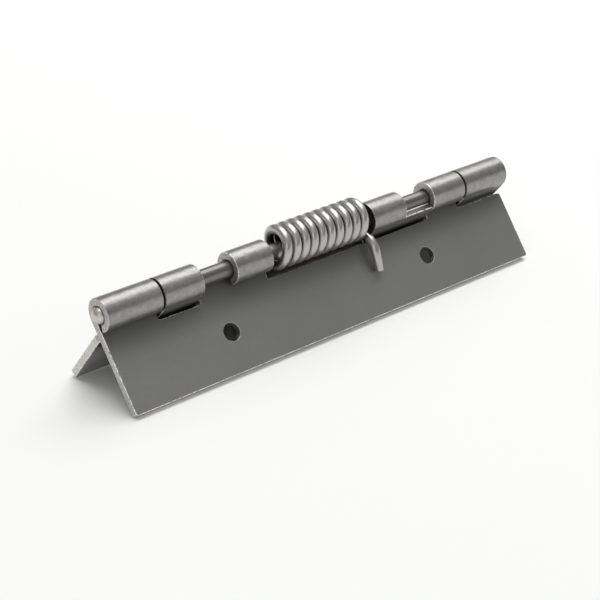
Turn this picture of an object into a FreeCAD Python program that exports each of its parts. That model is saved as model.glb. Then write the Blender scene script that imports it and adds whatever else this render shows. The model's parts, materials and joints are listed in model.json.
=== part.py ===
import FreeCAD, Part
import math
import os

# Spring loaded butt hinge, in millimetres. The pin runs along X, Z is up, and the hinge
# stands on the free edges of its two leaves, with the floor at Z = 0.
V = FreeCAD.Vector
os.makedirs("parts", exist_ok=True)

# Leaf stamping
leaf_length = 150.0
sheet = 2.3
leaf_reach = 28.0        # from the barrel's tangent foot to the free edge
notch_depth = 6.35       # from the tangent foot to the edge of each notch
corner_radius = 0.9      # outer corners of the leaf
notch_radius = 0.5       # inner corners of the notches
rest_half_angle = 38.5   # each leaf from the vertical, at the stop

# Barrel, from one end of the leaf towards the middle
end_knuckle = 17.8
inner_knuckle = 13.2
middle_knuckle = 12.8    # beside the spring; bare pin shows between it and the inner knuckle
knuckle_seam = 0.5
curl_angle = 290.0       # how far a knuckle is rolled past its tangent foot
cradle_angle = 20.5      # how far the cradle beside the middle knuckle is rolled

# Pin
pin_diameter = 4.8
pin_clearance = 0.05
pin_overhang = 1.8       # height of the domed ends, which start flush with the barrel

# Screw holes
hole_diameter = 5.2
hole_spacing = 75.0
hole_from_edge = 11.5

# Torsion spring
wire = 2.8
wire_flats = 10          # the round wire is drawn with flats, which keeps the coil light
coil_turns = 10
half_turn_steps = 14
coil_pitch = 3.2
end_advance = 2.4        # along the pin over the last half turn at each end, which opens to its leg
coil_outer_radius = 6.45
pin_gap_below = 0.05     # the loaded coil rides up until it meets the pin from below
coil_play = 1.1          # room between each end of the coil and the knuckle beside it
coil_shift = 0.6         # the coil is free to sit a little off centre
leg_lead = 1.8           # from the coil's lowest point to the bend
leg_bend_radius = 5.6
leg_bend_angle = 70.0
leg_bend_steps = 6
leg_face_gap = 0.1

# Derived sizes
pin_radius = pin_diameter / 2
bore_radius = pin_radius + pin_clearance
barrel_radius = bore_radius + sheet
half_length = leaf_length / 2
tilt = math.radians(rest_half_angle)
axis_height = barrel_radius * math.sin(tilt) + leaf_reach * math.cos(tilt)
seam_inner = half_length - end_knuckle - knuckle_seam
inner_start = seam_inner - inner_knuckle
half_coil = (coil_turns - 1) * coil_pitch / 2 + end_advance
middle_start = half_coil + wire / 2 + coil_play
middle_end = middle_start + middle_knuckle
cradle_end = inner_start - knuckle_seam


def around(radius, degrees, x=0):
    # point on a circle about the pin, from +Y towards +Z
    angle = math.radians(degrees)
    return V(x, radius * math.cos(angle), radius * math.sin(angle))


def curl(x_start, x_end, angle):
    # the rolled end of a tab: from its tangent foot up over the pin
    ends = [around(r, a, x_start) for a in (0, angle) for r in (bore_radius, barrel_radius)]
    inner = Part.Arc(ends[0], around(bore_radius, angle / 2, x_start), ends[2]).toShape()
    outer = Part.Arc(ends[1], around(barrel_radius, angle / 2, x_start), ends[3]).toShape()
    section = Part.Wire([inner, Part.makeLine(ends[2], ends[3]), outer, Part.makeLine(ends[1], ends[0])])
    return Part.Face(section).extrude(V(x_end - x_start, 0, 0))


def edges_through(shape, places):
    # edges across the sheet at the given places of its outline
    return [e for e in shape.Edges if len(e.Vertexes) == 2 and any(
        all(math.hypot(v.X - x, v.Z - z) < 1e-6 for v in e.Vertexes) for x, z in places)]


def leaf():
    # hangs straight down from the barrel, outer face towards -Y
    tabs = [(-half_length, end_knuckle - half_length), (-cradle_end, -middle_start),
            (inner_start, inner_start + inner_knuckle)]
    outline = [(-half_length, -leaf_reach), (half_length, -leaf_reach), (half_length, -notch_depth)]
    for x_start, x_end in reversed(tabs):
        outline += [(x_end, -notch_depth), (x_end, 0), (x_start, 0), (x_start, -notch_depth)]
    outline.pop()
    blank = Part.Face(Part.makePolygon([V(x, bore_radius, z) for x, z in outline + outline[:1]]))
    body = blank.extrude(V(0, sheet, 0))
    body = body.makeFillet(corner_radius, edges_through(body, outline[:3]))
    insides = [(x, -notch_depth) for tab in tabs for x in tab if abs(x) < half_length]
    body = body.makeFillet(notch_radius, edges_through(body, insides))
    rolls = [curl(*tabs[0], curl_angle), curl(-middle_end, -middle_start, curl_angle),
             curl(-cradle_end, -middle_end, cradle_angle), curl(*tabs[2], curl_angle)]
    body = body.multiFuse(rolls)
    for x in (-hole_spacing / 2, hole_spacing / 2):
        start = V(x, bore_radius - sheet, hole_from_edge - leaf_reach)
        body = body.cut(Part.makeCylinder(hole_diameter / 2, 3 * sheet, start, V(0, 1, 0)))
    return body.removeSplitter().Solids[0]


def pin():
    # half of the lengthwise section, turned about the pin's axis
    flush = V(half_length, pin_radius, 0)
    crown = V(half_length + pin_overhang, 0, 0)
    dome_radius = (pin_radius ** 2 + pin_overhang ** 2) / (2 * pin_overhang)
    lean = math.asin(pin_radius / dome_radius) / 2
    shoulder = crown + V(dome_radius * (math.cos(lean) - 1), dome_radius * math.sin(lean), 0)
    far_end = [flush, shoulder, crown]
    near_end = [V(-p.x, p.y, 0) for p in far_end]
    section = Part.Wire([
        Part.makeLine(near_end[0], far_end[0]),
        Part.Arc(*far_end).toShape(),
        Part.makeLine(far_end[2], near_end[2]),
        Part.Arc(*reversed(near_end)).toShape(),
    ])
    return Part.Face(section).revolve(V(0, 0, 0), V(1, 0, 0), 360).Solids[0]


def wire_section(centre):
    # where the wire runs square to the pin: a flat-sided ring as large as the round section
    step = 2 * math.pi / wire_flats
    reach = wire / 2 * math.sqrt(step / math.sin(step))
    angles = [(i + 0.5) * step for i in range(wire_flats)]
    return [centre + V(math.cos(a), 0, math.sin(a)) * reach for a in angles]


def moved(ring, offset):
    return [p + offset for p in ring]


def bend(ring, centre, axis, angle, steps):
    # the rings of a piece of wire bent about an axis
    turns = [FreeCAD.Rotation(axis, angle * (i + 1) / steps) for i in range(steps)]
    return [[centre + turn.multVec(p - centre) for p in ring] for turn in turns]


def wire_body(rings):
    # flat faces between neighbouring rings, and one across each end
    outlines = [rings[0], rings[-1]]
    for a, b in zip(rings, rings[1:]):
        outlines += [[a[i - 1], a[i], b[i], b[i - 1]] for i in range(wire_flats)]
    shell = Part.makeShell([Part.Face(Part.makePolygon(o + o[:1])) for o in outlines])
    return Part.makeSolid(shell)


def spring_leg(ring, x, bottom, side):
    # from the coil's lowest point it runs out, bends down and ends on the outer face of its leaf
    turn = math.radians(leg_bend_angle)
    centre = V(x, side * leg_lead, bottom - leg_bend_radius)
    finish = centre + V(0, side * math.sin(turn), math.cos(turn)) * leg_bend_radius
    along = V(0, side * math.cos(turn), -math.sin(turn))
    out = V(0, side * math.cos(tilt), math.sin(tilt))
    slant = -along.dot(out)
    rest_level = wire / 2 * math.sqrt(1 - slant ** 2) + leg_face_gap - bore_radius
    straight = (finish.dot(out) - rest_level) / slant
    rings = [moved(ring, V(0, side * leg_lead, 0))]
    rings += bend(rings[0], centre, V(1, 0, 0), -side * leg_bend_angle, leg_bend_steps)
    return rings + [moved(rings[-1], along * straight)]


def spring():
    mean_radius = coil_outer_radius - wire / 2
    lift = mean_radius - wire / 2 - pin_radius - pin_gap_below
    bottom = lift - mean_radius
    start = coil_shift - half_coil
    advances = [end_advance] + [coil_pitch / 2] * (2 * coil_turns - 2) + [end_advance]

    # each half turn lies in a plane of its own, and the wire runs square to the pin where they join
    coil = [wire_section(V(start, 0, bottom))]
    near_leg = spring_leg(coil[0], start, bottom, 1)
    for half, advance in enumerate(advances):
        side = 1 if half % 2 == 0 else -1
        centre = V(start + sum(advances[:half]) + advance / 2, 0, lift)
        axis = V(2 * mean_radius, 0, -side * advance)
        coil += bend(coil[-1], centre, axis, -180, half_turn_steps)
    far_leg = spring_leg(coil[-1], start + 2 * half_coil, bottom, -1)
    return wire_body(near_leg[::-1] + coil + far_leg)


front_leaf = leaf()
front_leaf.rotate(V(0, 0, 0), V(1, 0, 0), -rest_half_angle)
pieces = {
    "front_leaf": front_leaf,
    "rear_leaf": front_leaf.rotated(V(0, 0, 0), V(0, 0, 1), 180),
    "hinge_pin": pin(),
    "torsion_spring": spring(),
}
for name, shape in pieces.items():
    shape.translate(V(0, 0, axis_height))
    shape.exportStep("parts/" + name + ".step")
    print(name, shape.ShapeType, len(shape.Solids), shape.isValid(), round(shape.Volume, 1), shape.BoundBox)
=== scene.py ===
import bpy
import bmesh
import json
import math
from mathutils import Matrix, Vector


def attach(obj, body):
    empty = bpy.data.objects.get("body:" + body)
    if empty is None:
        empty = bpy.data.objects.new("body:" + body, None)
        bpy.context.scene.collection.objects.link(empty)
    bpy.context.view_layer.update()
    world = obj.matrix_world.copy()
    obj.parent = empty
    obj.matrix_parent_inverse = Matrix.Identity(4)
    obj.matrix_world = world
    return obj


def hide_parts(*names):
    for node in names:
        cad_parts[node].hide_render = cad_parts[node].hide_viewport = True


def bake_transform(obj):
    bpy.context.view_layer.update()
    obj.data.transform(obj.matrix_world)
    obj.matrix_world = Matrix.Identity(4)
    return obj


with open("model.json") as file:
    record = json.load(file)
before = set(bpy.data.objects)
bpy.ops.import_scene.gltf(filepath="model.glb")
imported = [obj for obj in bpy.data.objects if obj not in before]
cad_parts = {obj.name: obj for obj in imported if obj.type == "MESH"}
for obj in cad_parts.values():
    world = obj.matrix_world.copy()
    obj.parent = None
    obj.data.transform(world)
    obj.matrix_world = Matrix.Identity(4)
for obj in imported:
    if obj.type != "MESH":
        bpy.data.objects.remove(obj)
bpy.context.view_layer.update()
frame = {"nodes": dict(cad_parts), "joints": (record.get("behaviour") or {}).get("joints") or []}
nodes = frame["nodes"]
scene = bpy.context.scene
mm = 0.001  # the frame is in metres
slack = 0.1 * mm  # how near two places count as one
restAngle = math.radians(38.5)  # each leaf from the vertical
axisHeight = frame["joints"][0]["pos_m"][2]
print("frame loaded:", sorted(nodes))


# small helpers for objects, node trees and materials
def addObject(name, data):
    thing = bpy.data.objects.new(name, data)
    scene.collection.objects.link(thing)
    return thing


def addNode(tree, kind, **settings):
    node = tree.nodes.new(kind)
    for key, value in settings.items():
        setattr(node, key, value)
    return node


def fill(tree, node, values):
    for key, value in values.items():
        if isinstance(value, bpy.types.NodeSocket):
            tree.links.new(value, node.inputs[key])
        else:
            node.inputs[key].default_value = value
    return node


def mathNode(tree, operation, a, b=0.0, clamp=False):
    node = addNode(tree, "ShaderNodeMath", operation=operation, use_clamp=clamp)
    return fill(tree, node, {0: a, 1: b}).outputs[0]


def product(tree, a, b, clamp=False):
    return mathNode(tree, "MULTIPLY", a, b, clamp)


def inverse(tree, value):
    return mathNode(tree, "SUBTRACT", 1.0, value)


# a colour or a vector times a factor
def scaled(tree, vector, factor):
    node = addNode(tree, "ShaderNodeVectorMath", operation="MULTIPLY")
    return fill(tree, node, {0: vector, 1: factor}).outputs[0]


# the Mix node keeps its numbers in sockets 2 and 3 and its colours in 6 and 7
def mixFloat(tree, factor, a, b):
    return fill(tree, addNode(tree, "ShaderNodeMix"), {0: factor, 2: a, 3: b}).outputs[0]


def mixColour(tree, factor, a, b):
    node = addNode(tree, "ShaderNodeMix", data_type="RGBA")
    return fill(tree, node, {0: factor, 6: a, 7: b}).outputs[2]


def ramp(tree, value, low, high):
    node = addNode(tree, "ShaderNodeMapRange", interpolation_type="SMOOTHSTEP")
    return fill(tree, node, {"Value": value, "From Min": low, "From Max": high}).outputs[0]


def noise(tree, vector, scale, detail=3.0, roughness=0.55):
    node = addNode(tree, "ShaderNodeTexNoise")
    fill(tree, node, {"Vector": vector, "Scale": scale, "Detail": detail, "Roughness": roughness})
    return node.outputs[0]


def objectPlace(tree):
    return addNode(tree, "ShaderNodeTexCoord").outputs["Object"]


def axisOf(tree, vector, axis):
    return fill(tree, addNode(tree, "ShaderNodeSeparateXYZ"), {0: vector}).outputs[axis]


def attribute(tree, name):
    return addNode(tree, "ShaderNodeAttribute", attribute_name=name).outputs["Fac"]


def newGroup(name, inputs, outputs):
    tree = bpy.data.node_groups.new(name, "ShaderNodeTree")
    for direction, sockets in (("INPUT", inputs), ("OUTPUT", outputs)):
        for label, kind in sockets.items():
            tree.interface.new_socket(label, in_out=direction, socket_type="NodeSocket" + kind)
    return tree, addNode(tree, "NodeGroupInput").outputs, addNode(tree, "NodeGroupOutput")


def groupNode(tree, group, values):
    return fill(tree, addNode(tree, "ShaderNodeGroup", node_tree=group), values).outputs


def newMaterial(name):
    material = bpy.data.materials.new(name)
    material.use_nodes = True
    tree = material.node_tree
    return material, tree, tree.nodes["Principled BSDF"]


# mill grain of rolled steel: streaks along the pin, fine speckle, wide cloudy patches
grainLook = {
    "stretch": (0.06, 1.0, 1.0),
    "streakScale": 2600.0,
    "speckleScale": 2100.0, "speckleDetail": 4.0,
    "cloudScale": 70.0,
    "depth": 0.02 * mm,
}
grainTree, grainIn, grainOut = newGroup(
    "steelGrain",
    {"Streak": "Float", "Speckle": "Float", "Cloud": "Float"},
    {"Tone": "Float", "Height": "Float"})
where = objectPlace(grainTree)
streaks = noise(grainTree, scaled(grainTree, where, grainLook["stretch"]), grainLook["streakScale"])
speckle = noise(grainTree, where, grainLook["speckleScale"], grainLook["speckleDetail"])
cloud = noise(grainTree, where, grainLook["cloudScale"])
tone = 1.0
for source, label in ((streaks, "Streak"), (speckle, "Speckle"), (cloud, "Cloud")):
    centred = mathNode(grainTree, "SUBTRACT", source, 0.5)
    tone = mathNode(grainTree, "ADD", product(grainTree, centred, grainIn[label]), tone)
height = mathNode(grainTree, "ADD", product(grainTree, streaks, grainIn["Streak"]),
                  product(grainTree, speckle, grainIn["Speckle"]))
fill(grainTree, grainOut, {"Tone": tone, "Height": height})


def bump(tree, height, strength):
    node = addNode(tree, "ShaderNodeBump")
    fill(tree, node, {"Height": height, "Strength": strength, "Distance": grainLook["depth"]})
    return node.outputs[0]


def plainSteel(name, look, paint):
    material, tree, shader = newMaterial(name)
    grain = groupNode(tree, grainTree, look["grain"])
    fill(tree, shader, {
        "Base Color": scaled(tree, paint(tree, look), grain["Tone"]),
        "Roughness": product(tree, grain["Tone"], look["roughness"], True),
        "Metallic": 1.0,
        "Normal": bump(tree, grain["Height"], look["bump"]),
    })
    return material


# leaves: faces are marked for the material with weights from 0 to 1
leafLook = {
    "grain": {"Streak": 0.07, "Speckle": 0.34, "Cloud": 0.14},
    "edges": {
        "Sheet": (0.27, 0.268, 0.264, 1),
        "Rolled": (0.30, 0.296, 0.292, 1),
        "Sheared": (0.74, 0.73, 0.70, 1),
        "Pits": (0.20, 0.19, 0.18, 1),
        # partly bright metal from wear, partly a painted highlight on the arrises
        "Arris": (0.92, 0.91, 0.88, 1),
        # painted shade: the dark colour laid into seams, notches, gaps at the pin and hole walls
        "Painted Shade": (0.08, 0.075, 0.07, 1),
        # painted shade on the outer face near the barrel; painted light on the inner face below the
        # notches
        "Barrel Shade": 0.62, "Inner Light": 1.7,
        "Dents": 14.0, "Blotches": 0.75,
        "Sheet Roughness": 0.58, "Rolled Roughness": 0.37, "Sheared Roughness": 0.45,
    },
    "bump": 0.25,
    "bevel": 0.22 * mm, "bevelSteps": 2,
    "sharpAngle": 35.0, "flatAngle": 0.3,
    "facing": 0.7, "edgeOn": 0.5,  # cosines
    "weld": 0.002 * mm,
    "barrel": 4.75 * mm, "bore": 2.45 * mm, "boreRim": 0.3 * mm,
    "notch": 6.35 * mm, "notchRim": 0.3 * mm,
    "hole": {"x": 37.5 * mm, "reach": 16.5 * mm, "radius": 3.1 * mm},
    "openGap": (32.1 * mm, 43.5 * mm),  # bare pin and cradle, beside the middle knuckle
    "lip": (32.4 * mm, 42.8 * mm),
    # painted shade on the seam's rims and on the end faces listed next: beside the coil and in the seam
    "seams": (56.7 * mm, 57.2 * mm),
    "shadedEnds": (19.3 * mm, 56.7 * mm, 57.2 * mm),
    # rims given a painted highlight; beside the coil only the front leaf's rim has it, the rear's lies
    # in shade
    "brightEnds": {"front": (19.3 * mm, 32.1 * mm, 43.5 * mm), "rear": (32.1 * mm, 43.5 * mm)},
    "rim": 0.3 * mm,
    # endShear: the rear leaf's end cut faces are painted darker than the front's, as painted shade
    "endShear": {"front": 1.0, "rear": 0.75}, "knuckleShear": 0.52,
    # how strongly painted shade covers seams and notches, the lip under the pin, the hole walls and the
    # seam rims
    "seamShade": 0.95, "lipShade": 0.97, "holeShade": 0.6, "rimShade": 0.8,
    # arrises painted dimmer where shade falls; rims of the open ends get a painted highlight
    "dimmedArris": 0.25, "rimArris": 0.8,
}

# what the marks look like: nicks in the arrises, pits in the sheared faces, blotches on the knuckles,
# and where painted shade and painted highlights fall
markLook = {
    "nickScale": 1500.0, "nicks": (0.36, 0.56),
    "pitScale": 2200.0, "pitDetail": 4.0, "pits": (0.52, 0.66),
    "blotchScale": 620.0, "blotchRoughness": 0.65,
    "dimReach": (5.0, 15.0),  # mm down the leaf from its tangent foot on the barrel
    "underBarrel": (-0.5, 6.0), "freeSheet": (6.5, 14.0),
    # painted shade on sheared faces near the bore, and a painted highlight on the cradle's lip near the
    # bore
    "boreShadeDepth": (0.15, 0.65), "lipHighlightDepth": (0.4, 0.7),  # mm out from the bore
    "boreShadeCut": (0.1, 0.4),
}
colourInputs = ("Sheet", "Rolled", "Sheared", "Pits", "Arris", "Painted Shade")
markTree, markIn, markOut = newGroup(
    "shearedEdges",
    {label: "Color" if label in colourInputs else "Float" for label in leafLook["edges"]},
    {"Color": "Color", "Roughness": "Float", "Height": "Float"})
where = objectPlace(markTree)
cutMark, rolledMark = attribute(markTree, "cut"), attribute(markTree, "rolled")
reachMark, boreMark = attribute(markTree, "reach"), attribute(markTree, "bore")

# the rolled knuckles are blotched
blotch = noise(markTree, where, markLook["blotchScale"], roughness=markLook["blotchRoughness"])
uneven = product(markTree, mathNode(markTree, "SUBTRACT", blotch, 0.5), markIn["Blotches"])
rolled = scaled(markTree, markIn["Rolled"], mathNode(markTree, "ADD", uneven, 1.0))
colour = mixColour(markTree, rolledMark, markIn["Sheet"], rolled)

# painted shade and light: the outer face darkens towards the barrel; the inner one is dark at the
# notches and pale below them
nearBarrel = inverse(markTree, ramp(markTree, reachMark, *markLook["dimReach"]))
shadeUnderBarrel = product(markTree, nearBarrel, inverse(markTree, rolledMark))
outerTone = inverse(markTree, product(markTree, shadeUnderBarrel, inverse(markTree, markIn["Barrel Shade"])))
# painted shade on the inner face towards the notch level, painted light paler than the outer face
# further down
underBarrel = inverse(markTree, ramp(markTree, reachMark, *markLook["underBarrel"]))
freeSheet = product(markTree, ramp(markTree, reachMark, *markLook["freeSheet"]), markIn["Inner Light"])
innerTone = mathNode(markTree, "ADD", underBarrel, freeSheet)
sheetTone = mixFloat(markTree, attribute(markTree, "inner"), outerTone, innerTone)
colour = scaled(markTree, colour, sheetTone)

# sheared faces are pitted, and painted with shade where they meet the pin
pitNoise = noise(markTree, where, markLook["pitScale"], markLook["pitDetail"])
pits = ramp(markTree, pitNoise, *markLook["pits"])
fracture = mixColour(markTree, pits, markIn["Sheared"], markIn["Pits"])
colour = mixColour(markTree, cutMark, colour, fracture)
nearPin = inverse(markTree, ramp(markTree, boreMark, *markLook["boreShadeDepth"]))
boreShade = product(markTree, nearPin, ramp(markTree, cutMark, *markLook["boreShadeCut"]))
shadeMask = mathNode(markTree, "MAXIMUM", attribute(markTree, "paintedShade"), boreShade)
colour = mixColour(markTree, shadeMask, colour, markIn["Painted Shade"])

# arrises are partly bright from wear, partly a painted highlight; the cradle's lip at the bore gets a
# painted highlight
nicks = ramp(markTree, noise(markTree, where, markLook["nickScale"]), *markLook["nicks"])
wornAndLit = product(markTree, attribute(markTree, "arris"), nicks)
atBore = inverse(markTree, ramp(markTree, boreMark, *markLook["lipHighlightDepth"]))
lipHighlight = product(markTree, attribute(markTree, "lipHighlight"), atBore)
colour = mixColour(markTree, mathNode(markTree, "MAXIMUM", wornAndLit, lipHighlight), colour, markIn["Arris"])

rough = mixFloat(markTree, rolledMark, markIn["Sheet Roughness"], markIn["Rolled Roughness"])
rough = mixFloat(markTree, cutMark, rough, markIn["Sheared Roughness"])
dents = product(markTree, product(markTree, blotch, rolledMark), markIn["Dents"])
fill(markTree, markOut, {"Color": colour, "Roughness": rough, "Height": dents})

sheetSteel, tree, shader = newMaterial("sheetSteel")
grain = groupNode(tree, grainTree, leafLook["grain"])
edges = groupNode(tree, markTree, leafLook["edges"])
fill(tree, shader, {
    "Base Color": scaled(tree, edges["Color"], grain["Tone"]),
    "Roughness": product(tree, grain["Tone"], edges["Roughness"], True),
    "Metallic": 1.0,
    "Normal": bump(tree, mathNode(tree, "ADD", grain["Height"], edges["Height"]), leafLook["bump"]),
})


# directions of a leaf: square to its outer face, and down along it
def leafOut(side):
    return Vector((0, side * math.cos(restAngle), math.sin(restAngle)))


def leafDown(side):
    return Vector((0, side * math.sin(restAngle), -math.cos(restAngle)))


# places are taken from the pin's axis
def fromPin(point):
    return point - Vector((0, 0, axisHeight))


def pinDistance(place):
    return math.hypot(place.y, place.z)


def onBarrel(place):
    return pinDistance(place) < leafLook["barrel"] + slack


def atEnd(place, ends, margin):
    return any(abs(abs(place.x) - x) < margin for x in ends)


def within(place, limits):
    return limits[0] < abs(place.x) < limits[1]


def inHole(place, down):
    hole = leafLook["hole"]
    return math.hypot(abs(place.x) - hole["x"], place.dot(down) - hole["reach"]) < hole["radius"]


# painted shade: the notches' cut faces are painted dark, except in the open gap where light reaches them
def inNotch(place, normal, down):
    onLevel = abs(place.dot(down) - leafLook["notch"]) < slack
    facingUp = normal.dot(down) < -leafLook["facing"]
    return onLevel and facingUp and not within(place, leafLook["openGap"])


# high on the leaf under the coil and knuckles, where arrises get painted shade
def underCoil(place, down):
    high = place.dot(down) < leafLook["notch"] + leafLook["notchRim"]
    return high and abs(place.x) < leafLook["openGap"][1]


def markFaces(bm, layers, body, side):
    out, down = leafOut(side), leafDown(side)
    for face in bm.faces:
        place = fromPin(face.calc_center_median())
        radial = Vector((0, place.y, place.z)).normalized()
        rolled = onBarrel(place)
        across = abs(face.normal.x) > leafLook["edgeOn"]
        square = face.normal.dot(radial if rolled else out)
        cut = across or abs(square) < leafLook["edgeOn"]
        lip = rolled and cut and not across
        if across:
            face[layers["cut"]] = leafLook["knuckleShear"] if rolled else leafLook["endShear"][body]
        elif cut:
            face[layers["cut"]] = 1.0
        face[layers["rolled"]] = float(rolled and not across)
        face[layers["inner"]] = float(not rolled and square < -leafLook["facing"])
        # painted highlight on the cradle's lip in the open gap
        face[layers["lipHighlight"]] = float(lip and within(place, leafLook["openGap"]))
        # painted shade on end faces in the seam and beside the coil, on the notches, on the lip under
        # the pin and on the hole walls
        inSeam = across and atEnd(place, leafLook["shadedEnds"], slack)
        if inSeam or inNotch(place, face.normal, down):
            face[layers["paintedShade"]] = leafLook["seamShade"]
        elif lip:
            face[layers["paintedShade"]] = leafLook["lipShade"]
        elif cut and inHole(place, down):
            face[layers["paintedShade"]] = leafLook["holeShade"]


def breakArrises(bm, layers, body, side):
    down = leafDown(side)
    limit = math.radians(leafLook["sharpAngle"])
    sharp = [e for e in bm.edges if len(e.link_faces) == 2 and e.calc_face_angle() > limit]
    made = bmesh.ops.bevel(bm, geom=sharp, offset=leafLook["bevel"], segments=leafLook["bevelSteps"],
                           profile=0.5, affect="EDGES", clamp_overlap=False)
    for face in made["faces"]:
        place = fromPin(face.calc_center_median())
        rolled = onBarrel(place)
        onLip = rolled and within(place, leafLook["lip"])
        # arrises are duller on the knuckles, and dimmed as painted shade under the coil and in the holes
        dimmed = rolled or underCoil(place, down) or inHole(place, down)
        face[layers["arris"]] = leafLook["dimmedArris"] if dimmed and not onLip else 1.0
        # painted shade on arrises at the bore and on the seam rims; painted highlight on the rims of the
        # open ends
        if pinDistance(place) < leafLook["bore"] + leafLook["boreRim"] and not onLip:
            face[layers["paintedShade"]] = 1.0
        elif rolled and atEnd(place, leafLook["seams"], leafLook["rim"]):
            face[layers["paintedShade"]] = leafLook["rimShade"]
            face[layers["arris"]] = 0.0
        elif rolled and atEnd(place, leafLook["brightEnds"][body], leafLook["rim"]):
            face[layers["arris"]] = leafLook["rimArris"]


# how far down the leaf and out from the bore each vertex lies, in mm
def measureVerts(bm, side):
    down = leafDown(side)
    reach = bm.verts.layers.float.new("reach")
    bore = bm.verts.layers.float.new("bore")
    for vert in bm.verts:
        place = fromPin(vert.co)
        vert[reach] = place.dot(down) / mm
        vert[bore] = (pinDistance(place) - leafLook["bore"]) / mm


def buildLeaf(name, nodeName, body, side):
    mesh = nodes[nodeName].data.copy()
    mesh.name = name
    bm = bmesh.new()
    bm.from_mesh(mesh)
    bmesh.ops.remove_doubles(bm, verts=bm.verts, dist=leafLook["weld"])
    flat = math.radians(leafLook["flatAngle"])
    bmesh.ops.dissolve_limit(bm, angle_limit=flat, verts=bm.verts, edges=bm.edges)
    gapStart = leafLook["openGap"][0]
    for x in (-gapStart, gapStart):  # the marks change where the open gap starts
        parts = bm.verts[:] + bm.edges[:] + bm.faces[:]
        bmesh.ops.bisect_plane(bm, geom=parts, dist=leafLook["weld"],
                               plane_co=(x, 0, 0), plane_no=(1, 0, 0))
    labels = ("cut", "arris", "paintedShade", "rolled", "inner", "lipHighlight")
    layers = {label: bm.faces.layers.float.new(label) for label in labels}
    markFaces(bm, layers, body, side)
    breakArrises(bm, layers, body, side)
    measureVerts(bm, side)
    bm.to_mesh(mesh)
    bm.free()
    mesh.materials.clear()
    mesh.materials.append(sheetSteel)
    for polygon in mesh.polygons:
        polygon.use_smooth = True
    leaf = addObject(name, mesh)
    leaf.modifiers.new("flatFaces", "WEIGHTED_NORMAL").keep_sharp = False
    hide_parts(nodeName)
    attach(leaf, body)


buildLeaf("frontLeafSteel", "front_leaf", "front", -1)
buildLeaf("rearLeafSteel", "rear_leaf", "rear", 1)
print("leaves done")


# pin: the CAD node itself, painted with shade within the coil and with a painted highlight just before
# it
pinLook = {
    "grain": {"Streak": 0.2, "Speckle": 0.2, "Cloud": 0.1},
    "colour": (0.19, 0.186, 0.178, 1),
    "ends": (0.55, 0.54, 0.51, 1),
    "domeStarts": (74.9 * mm, 75.2 * mm),
    # painted shade on the pin within the coil
    "coilShade": (0.05, 0.047, 0.043, 1),
    "coilEnds": (12.0 * mm, 15.5 * mm),
    # painted highlight on the bare pin between the second knuckle and the coil
    "paintedLight": (0.90, 0.88, 0.84, 1),
    "paintedLightFrom": (-18.2 * mm, -16.4 * mm),
    "paintedLightTo": (-15.6 * mm, -13.0 * mm),
    "roughness": 0.36,
    "bump": 0.2,
}


def pinPaint(tree, look):
    along = axisOf(tree, objectPlace(tree), "X")
    fromMiddle = mathNode(tree, "ABSOLUTE", along)
    dome = ramp(tree, fromMiddle, *look["domeStarts"])
    # painted shade on the pin within the coil
    coiled = inverse(tree, ramp(tree, fromMiddle, *look["coilEnds"]))
    shadedPin = mixColour(tree, coiled, mixColour(tree, dome, look["colour"], look["ends"]), look["coilShade"])
    # painted highlight on the pin just before the coil
    beforeCoil = inverse(tree, ramp(tree, along, *look["paintedLightTo"]))
    paintedLight = product(tree, ramp(tree, along, *look["paintedLightFrom"]), beforeCoil)
    return mixColour(tree, paintedLight, shadedPin, look["paintedLight"])


pinSteel = plainSteel("pinSteel", pinLook, pinPaint)
print("pin done")


# spring: one round wire in mm, wound in half turns that each lie in a plane of their own
springLook = {
    "grain": {"Streak": 0.06, "Speckle": 0.34, "Cloud": 0.2},
    "colour": (0.46, 0.454, 0.442, 1),
    "inside": (0.11, 0.104, 0.095, 1),
    "shadeRadii": (-0.6, 0.45),
    "roughness": 0.31,
    "bump": 0.04,
    "wire": 2.8, "turns": 10, "pitch": 3.2, "endAdvance": 2.4, "outer": 6.45, "shift": 0.6,
    "pinRadius": 2.4, "pinGap": 0.05,
    "lead": 1.8, "bendRadius": 5.6, "bend": 70.0, "faceGap": 0.1, "boreRadius": 2.45,
    "endBreak": 0.2, "endScale": 0.85,
    "sides": 18, "halfTurnSteps": 22, "bendSteps": 12,
}
coilMean = springLook["outer"] - springLook["wire"] / 2
coilLift = coilMean - springLook["wire"] / 2 - springLook["pinRadius"] - springLook["pinGap"]
coilBottom = coilLift - coilMean


# painted shade: the wire darkens towards the inside of the coil
def springPaint(tree, look):
    offset = addNode(tree, "ShaderNodeVectorMath", operation="SUBTRACT")
    fill(tree, offset, {0: objectPlace(tree), 1: (0, 0, axisHeight + coilLift * mm)})
    length = addNode(tree, "ShaderNodeVectorMath", operation="LENGTH")
    radius = fill(tree, length, {0: scaled(tree, offset.outputs[0], (0, 1, 1))}).outputs["Value"]
    low, high = look["shadeRadii"]
    outside = ramp(tree, radius, (coilMean + low) * mm, (coilMean + high) * mm)
    return mixColour(tree, outside, look["inside"], look["colour"])


springSteel = plainSteel("springSteel", springLook, springPaint)


# the wire is a row of rings, each made from the one before
def turned(ring, centre, axis, degrees):
    turn = Matrix.Rotation(math.radians(degrees), 3, axis)
    return [centre + turn @ (p - centre) for p in ring]


def shifted(ring, offset):
    return [p + offset for p in ring]


def shrunk(ring, amount, offset):
    centre = sum(ring, Vector()) / len(ring)
    return [centre + (p - centre) * amount + offset for p in ring]


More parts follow.
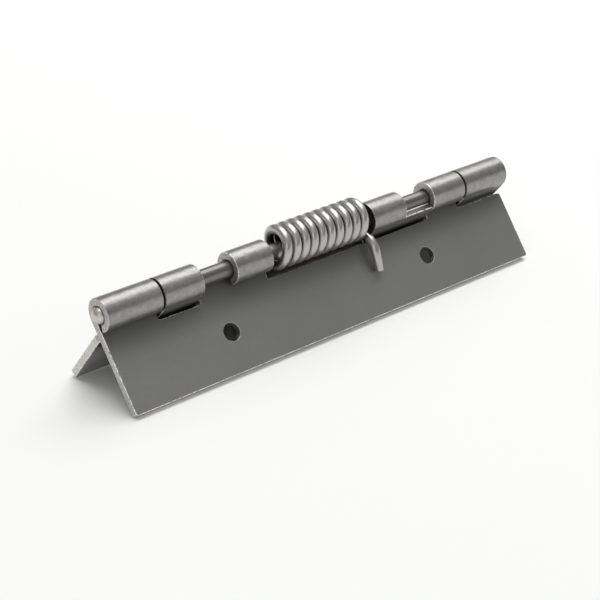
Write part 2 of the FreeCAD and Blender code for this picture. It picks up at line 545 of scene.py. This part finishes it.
# a leg runs out from the coil's lowest point, bends down and ends on its leaf
def legRings(ring, x, side, look):
    bend = math.radians(look["bend"])
    centre = Vector((x, side * look["lead"], coilBottom - look["bendRadius"]))
    along = Vector((0, side * math.cos(bend), -math.sin(bend)))
    out = leafOut(side)
    finish = centre + Vector((0, side * math.sin(bend), math.cos(bend))) * look["bendRadius"]
    slant = -along.dot(out)
    level = look["wire"] / 2 * math.sqrt(1 - slant ** 2) + look["faceGap"] - look["boreRadius"]
    straight = (finish.dot(out) - level) / slant
    rings = [shifted(ring, Vector((0, side * look["lead"], 0)))]
    for i in range(look["bendSteps"]):
        step = -side * look["bend"] * (i + 1) / look["bendSteps"]
        rings.append(turned(rings[0], centre, Vector((1, 0, 0)), step))
    rings.append(shifted(rings[-1], along * (straight - look["endBreak"])))
    rings.append(shrunk(rings[-1], look["endScale"], along * look["endBreak"]))
    return rings


def springRings(look):
    ends = [look["endAdvance"]]
    advances = ends + [look["pitch"] / 2] * (2 * look["turns"] - 2) + ends
    start = look["shift"] - sum(advances) / 2
    angles = [2 * math.pi * i / look["sides"] for i in range(look["sides"])]
    radius = look["wire"] / 2
    section = [Vector((math.cos(a), 0, math.sin(a))) * radius for a in angles]
    coil = [shifted(section, Vector((start, 0, coilBottom)))]
    nearLeg = legRings(coil[0], start, 1, look)
    for half, advance in enumerate(advances):
        side = 1 if half % 2 == 0 else -1
        centre = Vector((start + sum(advances[:half]) + advance / 2, 0, coilLift))
        axis = Vector((2 * coilMean, 0, -side * advance))
        first = coil[-1]
        for i in range(look["halfTurnSteps"]):
            coil.append(turned(first, centre, axis, -180 * (i + 1) / look["halfTurnSteps"]))
    farLeg = legRings(coil[-1], start + sum(advances), -1, look)
    return nearLeg[::-1] + coil + farLeg


def buildSpring(name, look):
    rings = springRings(look)
    count = look["sides"]
    last = (len(rings) - 1) * count
    points = [p * mm + Vector((0, 0, axisHeight)) for ring in rings for p in ring]
    faces = []
    for r in range(0, last, count):
        for i in range(count):
            j = (i + 1) % count
            faces.append((r + i, r + j, r + count + j, r + count + i))
    faces.append(tuple(range(count))[::-1])
    faces.append(tuple(range(last, last + count)))
    mesh = bpy.data.meshes.new(name)
    mesh.from_pydata([tuple(p) for p in points], [], faces)
    bm = bmesh.new()
    bm.from_mesh(mesh)
    bmesh.ops.recalc_face_normals(bm, faces=bm.faces)
    bm.to_mesh(mesh)
    bm.free()
    for polygon in mesh.polygons:
        polygon.use_smooth = len(polygon.vertices) == 4  # the two ends stay flat
    mesh.materials.append(springSteel)
    spring = addObject(name, mesh)
    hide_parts("torsion_spring")
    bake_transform(spring)


buildSpring("springWire", springLook)
print("spring done")

# the CAD nodes take the same finishes
finishes = {
    "front_leaf": sheetSteel, "rear_leaf": sheetSteel,
    "hinge_pin": pinSteel, "torsion_spring": springSteel,
}
for nodeName, material in finishes.items():
    nodes[nodeName].data.materials.clear()
    nodes[nodeName].data.materials.append(material)

# pale floor, in metres
floorLook = {"half": 15.0, "drop": 0.05 * mm, "colour": (0.90, 0.90, 0.89, 1), "roughness": 0.9}
half = floorLook["half"]
mesh = bpy.data.meshes.new("floor")
corners = [(-half, -half, 0), (half, -half, 0), (half, half, 0), (-half, half, 0)]
mesh.from_pydata(corners, [], [(0, 1, 2, 3)])
floor = addObject("floor", mesh)
floor.location.z = -floorLook["drop"]
floorPaint, tree, shader = newMaterial("floorPaint")
fill(tree, shader, {
    "Base Color": floorLook["colour"],
    "Roughness": floorLook["roughness"],
    "Specular IOR Level": 0.0,
})
mesh.materials.append(floorPaint)
print("floor done")

# soft studio light: a wide overhead light, one high on the right and a small one low on the left
lightLook = {
    "overhead": {"at": (0.10, 0.10, 1.25), "spread": 48.0, "strength": 1.41},
    "boxes": {
        "rightSoftbox": {"at": (0.60, 0.25, 0.79), "size": (0.70, 0.50), "power": 2.7},
        "leftSoftbox": {"at": (-0.96, -0.68, 0.56), "size": (0.24, 0.24), "power": 0.85},
    },
}


def addLamp(name, kind, at):
    data = bpy.data.lights.new(name, kind)
    lamp = addObject(name, data)
    lamp.location = at
    lamp.rotation_euler = (-Vector(at)).to_track_quat("-Z", "Y").to_euler()
    return data


overhead = addLamp("overheadLight", "SUN", lightLook["overhead"]["at"])
overhead.angle = math.radians(lightLook["overhead"]["spread"])
overhead.energy = lightLook["overhead"]["strength"]
for name, look in lightLook["boxes"].items():
    box = addLamp(name, "AREA", look["at"])
    box.shape = "RECTANGLE"
    box.size, box.size_y = look["size"]
    box.energy = look["power"]

# room: a white backdrop up to a low height, dim above it, paler overhead
roomLook = {
    "backdrop": (1, 1, 1, 1), "wall": (0.07, 0.07, 0.07, 1), "ceiling": (0.48, 0.48, 0.48, 1),
    "backdropTop": (0.185, 0.205), "ceilingStarts": (0.21, 0.58),
}
world = bpy.data.worlds.new("studioRoom")
scene.world = world
world.use_nodes = True
tree = world.node_tree
rise = axisOf(tree, addNode(tree, "ShaderNodeTexCoord").outputs["Generated"], "Z")
overWall = ramp(tree, rise, *roomLook["ceilingStarts"])
upper = mixColour(tree, overWall, roomLook["wall"], roomLook["ceiling"])
overBackdrop = ramp(tree, rise, *roomLook["backdropTop"])
colour = mixColour(tree, overBackdrop, roomLook["backdrop"], upper)
fill(tree, tree.nodes["Background"], {"Color": colour, "Strength": 1.0})
scene.view_settings.view_transform = "Standard"
print("light done")

# camera fitted to the photograph, angles in degrees
cameraLook = {
    "at": (-0.280888, -0.318696, 0.224459),
    "azimuth": -40.81, "elevation": 27.385, "roll": 0.32,
    "lens": 98.05, "sensor": 36.0, "clipStart": 0.01,
}
azimuth, elevation, roll = (math.radians(cameraLook[k]) for k in ("azimuth", "elevation", "roll"))
level = Vector((math.sin(azimuth), -math.cos(azimuth), 0))
back = level * math.cos(elevation) + Vector((0, 0, math.sin(elevation)))
right = (-back).cross(Vector((0, 0, 1))).normalized()
up = right.cross(-back)
across = right * math.cos(roll) + up * math.sin(roll)
above = up * math.cos(roll) - right * math.sin(roll)
data = bpy.data.cameras.new("camera")
data.lens = cameraLook["lens"]
data.sensor_width = cameraLook["sensor"]
data.clip_start = cameraLook["clipStart"]
camera = addObject("camera", data)
turn = Matrix((across, above, back)).transposed().to_4x4()
camera.matrix_world = Matrix.Translation(cameraLook["at"]) @ turn
scene.camera = camera
print("camera done")
